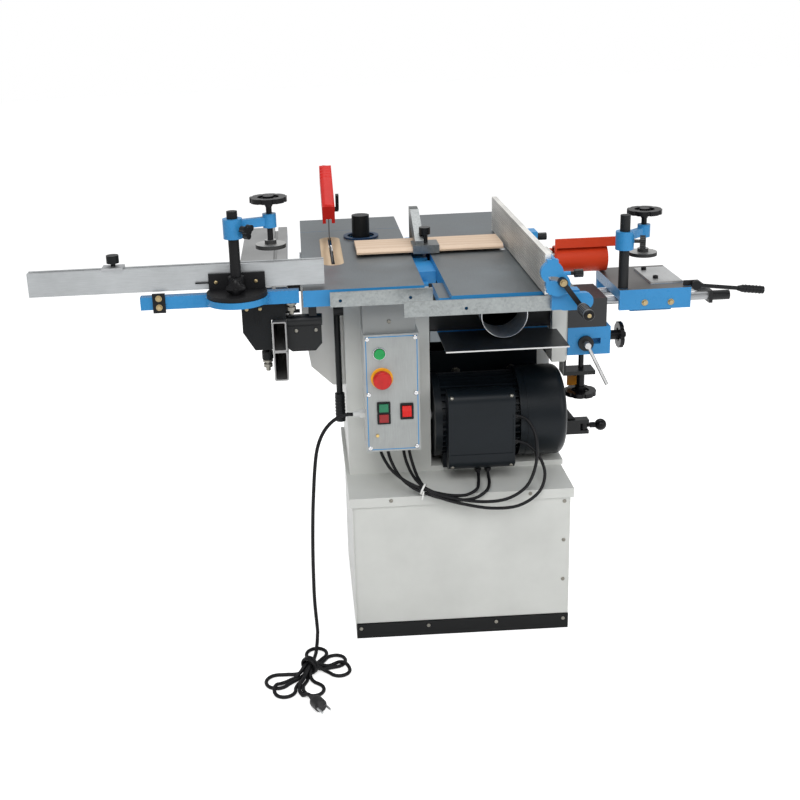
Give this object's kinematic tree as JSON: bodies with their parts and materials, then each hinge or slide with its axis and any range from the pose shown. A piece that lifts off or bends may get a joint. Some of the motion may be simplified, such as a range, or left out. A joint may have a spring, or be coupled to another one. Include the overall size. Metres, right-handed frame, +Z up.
{
  "type": "combination planer thicknesser",
  "caption": "Combination planer thicknesser with saw, sliding carriage, spindle moulder and slot mortiser on one cabinet, with tables, guards, clamps and levers that move.",
  "frame": {"origin": "on the floor under the middle of the base cabinet", "axes": "+Z up, -Y towards the operator, +X to the mortiser"},
  "size_m": [1.5799, 1.0109, 1.0273],
  "materials": {
    "cabinet_paint": "smooth off-white paint",
    "panel_paint": "smooth off-white paint, black kick strip",
    "frame_paint": "smooth off-white paint",
    "motor_paint": "satin black paint",
    "machined_iron": "machined top, blue painted edges",
    "insert_ply": "pale plywood, dark ring round the spindle",
    "zinc": "zinc plated",
    "box_paint": "smooth white paint",
    "panel_face": "silver-grey face with a thin blue border",
    "hopper_paint": "white sheet",
    "raw_steel": "raw steel tube, dark brackets",
    "hood_paint": "black sheet, galvanised spigot",
    "belt_rubber": "matte",
    "guard_red": "gloss red paint",
    "cord_rubber": "matte black sheath",
    "plug_plastic": "moulded black, metal pins",
    "blue_paint": "gloss azure paint",
    "fence_aluminium": "ribbed extrusion",
    "black_paint": "satin black",
    "guard_board": "satin",
    "cutter_steel": "ground steel",
    "bed_iron": "machined, black sheet at the front",
    "blade_steel": "ground steel",
    "black_plastic": "gloss black handles",
    "slide_aluminium": "matte anodised",
    "chrome_rod": "polished rods, blue saddle",
    "button_green": "gloss",
    "button_red": "gloss",
    "pad_rubber": "rubber cup with a pale steel top"
  },
  "bodies": {
    "stand": {"base_cabinet": "cabinet_paint", "front_panel": "panel_paint", "upper_frame": "frame_paint", "motor_housing": "motor_paint", "saw_table": "machined_iron", "table_insert": "insert_ply", "saw_rail": "zinc", "outfeed_table": "machined_iron", "control_box": "box_paint", "control_panel": "panel_face", "saw_hopper": "hopper_paint", "carriage_rails": "raw_steel", "chip_hood": "hood_paint", "drive_belt": "belt_rubber", "chuck_guards": "guard_red", "motor_leads": "cord_rubber", "mains_cord": "cord_rubber", "cord_hank": "cord_rubber", "mains_plug": "plug_plastic"},
    "carriage": {"carriage_table": "slide_aluminium", "carriage_frame": "blue_paint"},
    "infeed_table": {"infeed_table": "machined_iron"},
    "fence_carriage": {"fence_carriage": "blue_paint"},
    "fence_plate": {"fence_plate": "fence_aluminium"},
    "crank_lever": {"crank_lever": "black_plastic"},
    "bridge_bracket": {"bridge_bracket": "black_paint"},
    "bridge_guard": {"bridge_guard": "guard_board"},
    "cutter_block": {"cutter_block": "cutter_steel"},
    "motor_rotor": {"motor_rotor": "cutter_steel"},
    "infeed_roller": {"infeed_roller": "cutter_steel"},
    "outfeed_roller": {"outfeed_roller": "cutter_steel"},
    "thickness_bed": {"thickness_bed": "bed_iron"},
    "saw_lift": {"saw_lift": "cutter_steel"},
    "saw_blade": {"saw_blade": "blade_steel"},
    "saw_guard": {"saw_guard": "guard_red"},
    "lift_lever": {"lift_lever": "black_paint"},
    "spindle_quill": {"spindle_quill": "cutter_steel"},
    "spindle": {"spindle": "black_paint"},
    "mitre_gauge": {"mitre_gauge": "black_paint"},
    "crosscut_fence": {"crosscut_fence": "slide_aluminium"},
    "fence_stop": {"fence_stop": "black_paint"},
    "left_clamp_arm": {"left_clamp_arm": "blue_paint"},
    "left_clamp_screw": {"left_clamp_screw": "black_plastic"},
    "left_clamp_pad": {"left_clamp_pad": "pad_rubber"},
    "mortise_lift": {"mortise_lift": "blue_paint"},
    "lift_wheel": {"lift_wheel": "black_plastic"},
    "side_wheel": {"side_wheel": "black_plastic"},
    "mortise_rods": {"mortise_rods": "chrome_rod"},
    "mortise_table": {"mortise_table": "blue_paint"},
    "table_lever": {"table_lever": "black_paint"},
    "lock_lever": {"lock_lever": "zinc"},
    "right_clamp_arm": {"right_clamp_arm": "blue_paint"},
    "right_clamp_screw": {"right_clamp_screw": "black_plastic"},
    "right_clamp_pad": {"right_clamp_pad": "pad_rubber"},
    "start_button": {"start_button": "button_green"},
    "estop_button": {"estop_button": "button_red"},
    "on_button": {"on_button": "button_green"},
    "off_button": {"off_button": "button_red"},
    "rocker_switch": {"rocker_switch": "button_red"},
    "ball_lever": {"ball_lever": "black_plastic"}
  },
  "joints": [
    {"name": "infeed_height", "type": "slide", "parent": "stand", "child": "infeed_table", "axis": [0, 0, 1], "range_m": [-0.0025, 0]},
    {"name": "fence_cross", "type": "slide", "parent": "infeed_table", "child": "fence_carriage", "axis": [1, 0, 0], "range_m": [-0.008, 0.045]},
    {"name": "fence_tilt", "type": "hinge", "parent": "fence_carriage", "child": "fence_plate", "pos_m": [0.157, 0, 0.833], "axis": [0, 1, 0], "range_deg": [0, 45]},
    {"name": "crank_turn", "type": "hinge", "parent": "fence_plate", "child": "crank_lever", "pos_m": [0.176, 0, 0.8612], "axis": [0, 1, 0], "range_deg": [-40, 40]},
    {"name": "guard_height", "type": "slide", "parent": "stand", "child": "bridge_bracket", "axis": [0, 0, 1], "range_m": [0, 0.05]},
    {"name": "guard_reach", "type": "slide", "parent": "bridge_bracket", "child": "bridge_guard", "axis": [1, 0, 0], "range_m": [-0.045, 0]},
    {"name": "motor_spin", "type": "hinge", "parent": "stand", "child": "motor_rotor", "pos_m": [0, -0.04, 0.472], "axis": [1, 0, 0], "continuous": true},
    {"name": "cutter_spin", "type": "hinge", "parent": "stand", "child": "cutter_block", "pos_m": [0, 0.091, 0.793], "axis": [1, 0, 0], "continuous": true},
    {"name": "infeed_feed", "type": "hinge", "parent": "stand", "child": "infeed_roller", "pos_m": [0, 0.031, 0.762], "axis": [1, 0, 0], "continuous": true},
    {"name": "outfeed_feed", "type": "hinge", "parent": "stand", "child": "outfeed_roller", "pos_m": [0, 0.151, 0.762], "axis": [1, 0, 0], "continuous": true},
    {"name": "bed_height", "type": "slide", "parent": "stand", "child": "thickness_bed", "axis": [0, 0, 1], "range_m": [-0.06, 0]},
    {"name": "saw_height", "type": "slide", "parent": "stand", "child": "saw_lift", "axis": [0, 0, 1], "range_m": [-0.01, 0.06]},
    {"name": "saw_spin", "type": "hinge", "parent": "saw_lift", "child": "saw_blade", "pos_m": [-0.256, 0.13, 0.713], "axis": [1, 0, 0], "continuous": true},
    {"name": "saw_guard_tilt", "type": "hinge", "parent": "saw_lift", "child": "saw_guard", "pos_m": [-0.256, 0.253, 0.898], "axis": [1, 0, 0], "range_deg": [-15, 30]},
    {"name": "lift_lever_swing", "type": "hinge", "parent": "stand", "child": "lift_lever", "pos_m": [-0.255, -0.064, 0.745], "axis": [1, 0, 0], "range_deg": [-14.1, 2.4]},
    {"name": "quill_height", "type": "slide", "parent": "stand", "child": "spindle_quill", "axis": [0, 0, 1], "range_m": [-0.05, 0]},
    {"name": "spindle_spin", "type": "hinge", "parent": "spindle_quill", "child": "spindle", "pos_m": [-0.178, 0.264, 0.8], "axis": [0, 0, 1], "continuous": true},
    {"name": "carriage_travel", "type": "slide", "parent": "stand", "child": "carriage", "axis": [0, 1, 0], "range_m": [0, 0.3]},
    {"name": "mitre_turn", "type": "hinge", "parent": "carriage", "child": "mitre_gauge", "pos_m": [-0.461, -0.236, 0.83], "axis": [0, 0, 1], "range_deg": [-45, 45]},
    {"name": "crosscut_reach", "type": "slide", "parent": "mitre_gauge", "child": "crosscut_fence", "axis": [1, 0, 0], "range_m": [-0.15, 0]},
    {"name": "stop_travel", "type": "slide", "parent": "crosscut_fence", "child": "fence_stop", "axis": [1, 0, 0], "range_m": [-0.12, 0.12]},
    {"name": "mortise_height", "type": "slide", "parent": "stand", "child": "mortise_lift", "axis": [0, 0, 1], "range_m": [-0.04, 0]},
    {"name": "lift_wheel_turn", "type": "hinge", "parent": "stand", "child": "lift_wheel", "pos_m": [0.297, -0.05, 0.55], "axis": [0, 0, 1], "range_deg": [-3600, 0]},
    {"name": "side_wheel_turn", "type": "hinge", "parent": "mortise_lift", "child": "side_wheel", "pos_m": [0.354, -0.05, 0.646], "axis": [1, 0, 0], "continuous": true},
    {"name": "lock_turn", "type": "hinge", "parent": "mortise_lift", "child": "lock_lever", "pos_m": [0.2983, -0.08, 0.64], "axis": [0, 1, 0], "range_deg": [-30, 30]},
    {"name": "rods_travel", "type": "slide", "parent": "mortise_lift", "child": "mortise_rods", "axis": [1, 0, 0], "range_m": [-0.02, 0.04]},
    {"name": "table_travel", "type": "slide", "parent": "mortise_rods", "child": "mortise_table", "axis": [0, 1, 0], "range_m": [-0.025, 0.012]},
    {"name": "table_lever_swing", "type": "hinge", "parent": "mortise_table", "child": "table_lever", "pos_m": [0.539, -0.083, 0.762], "axis": [0, 1, 0], "range_deg": [-13.3, 26.7]},
    {"name": "left_arm_swing", "type": "hinge", "parent": "mitre_gauge", "child": "left_clamp_arm", "pos_m": [-0.461, -0.236, 0.9493], "axis": [0, 0, 1], "range_deg": [-60, 60]},
    {"name": "left_pad_travel", "type": "slide", "parent": "left_clamp_arm", "child": "left_clamp_pad", "axis": [0, 0, 1], "range_m": [-0.012, 0.006]},
    {"name": "left_screw_turn", "type": "hinge", "parent": "left_clamp_pad", "child": "left_clamp_screw", "pos_m": [-0.38725, -0.21061, 0.9493], "axis": [0, 0, 1], "range_deg": [-1440, 720]},
    {"name": "right_arm_swing", "type": "hinge", "parent": "mortise_table", "child": "right_clamp_arm", "pos_m": [0.381, -0.07, 0.848], "axis": [0, 0, 1], "range_deg": [-60, 60]},
    {"name": "right_pad_travel", "type": "slide", "parent": "right_clamp_arm", "child": "right_clamp_pad", "axis": [0, 0, 1], "range_m": [-0.012, 0.006]},
    {"name": "right_screw_turn", "type": "hinge", "parent": "right_clamp_pad", "child": "right_clamp_screw", "pos_m": [0.43805, -0.0168, 0.848], "axis": [0, 0, 1], "range_deg": [-1440, 720]},
    {"name": "start_press", "type": "slide", "parent": "stand", "child": "start_button", "axis": [0, 1, 0], "range_m": [0, 0.0025], "stiffness_N_per_m": 800},
    {"name": "estop_press", "type": "slide", "parent": "stand", "child": "estop_button", "axis": [0, 1, 0], "range_m": [0, 0.005], "stiffness_N_per_m": 800},
    {"name": "on_press", "type": "slide", "parent": "stand", "child": "on_button", "axis": [0, 1, 0], "range_m": [0, 0.0025], "stiffness_N_per_m": 800},
    {"name": "off_press", "type": "slide", "parent": "stand", "child": "off_button", "axis": [0, 1, 0], "range_m": [0, 0.0025], "stiffness_N_per_m": 800},
    {"name": "rocker_tip", "type": "hinge", "parent": "stand", "child": "rocker_switch", "pos_m": [-0.115, -0.189, 0.542], "axis": [1, 0, 0], "range_deg": [-10, 10]},
    {"name": "ball_lever_turn", "type": "hinge", "parent": "stand", "child": "ball_lever", "pos_m": [0.344, 0.096, 0.37], "axis": [0, 0, 1], "range_deg": [-30, 30]}
  ],
  "couplings": [
    {"joint": "cutter_spin", "follows": "motor_spin", "ratio": 1.4926},
    {"joint": "infeed_feed", "follows": "motor_spin", "ratio": -0.05},
    {"joint": "outfeed_feed", "follows": "motor_spin", "ratio": -0.05},
    {"joint": "lift_lever_swing", "follows": "saw_height", "rad_per_m": -4},
    {"joint": "lift_wheel_turn", "follows": "mortise_height", "rad_per_m": 1570.8},
    {"joint": "table_lever_swing", "follows": "rods_travel", "rad_per_m": 11.6},
    {"joint": "left_screw_turn", "follows": "left_pad_travel", "rad_per_m": 2094.4},
    {"joint": "right_screw_turn", "follows": "right_pad_travel", "rad_per_m": 2094.4}
  ]
}
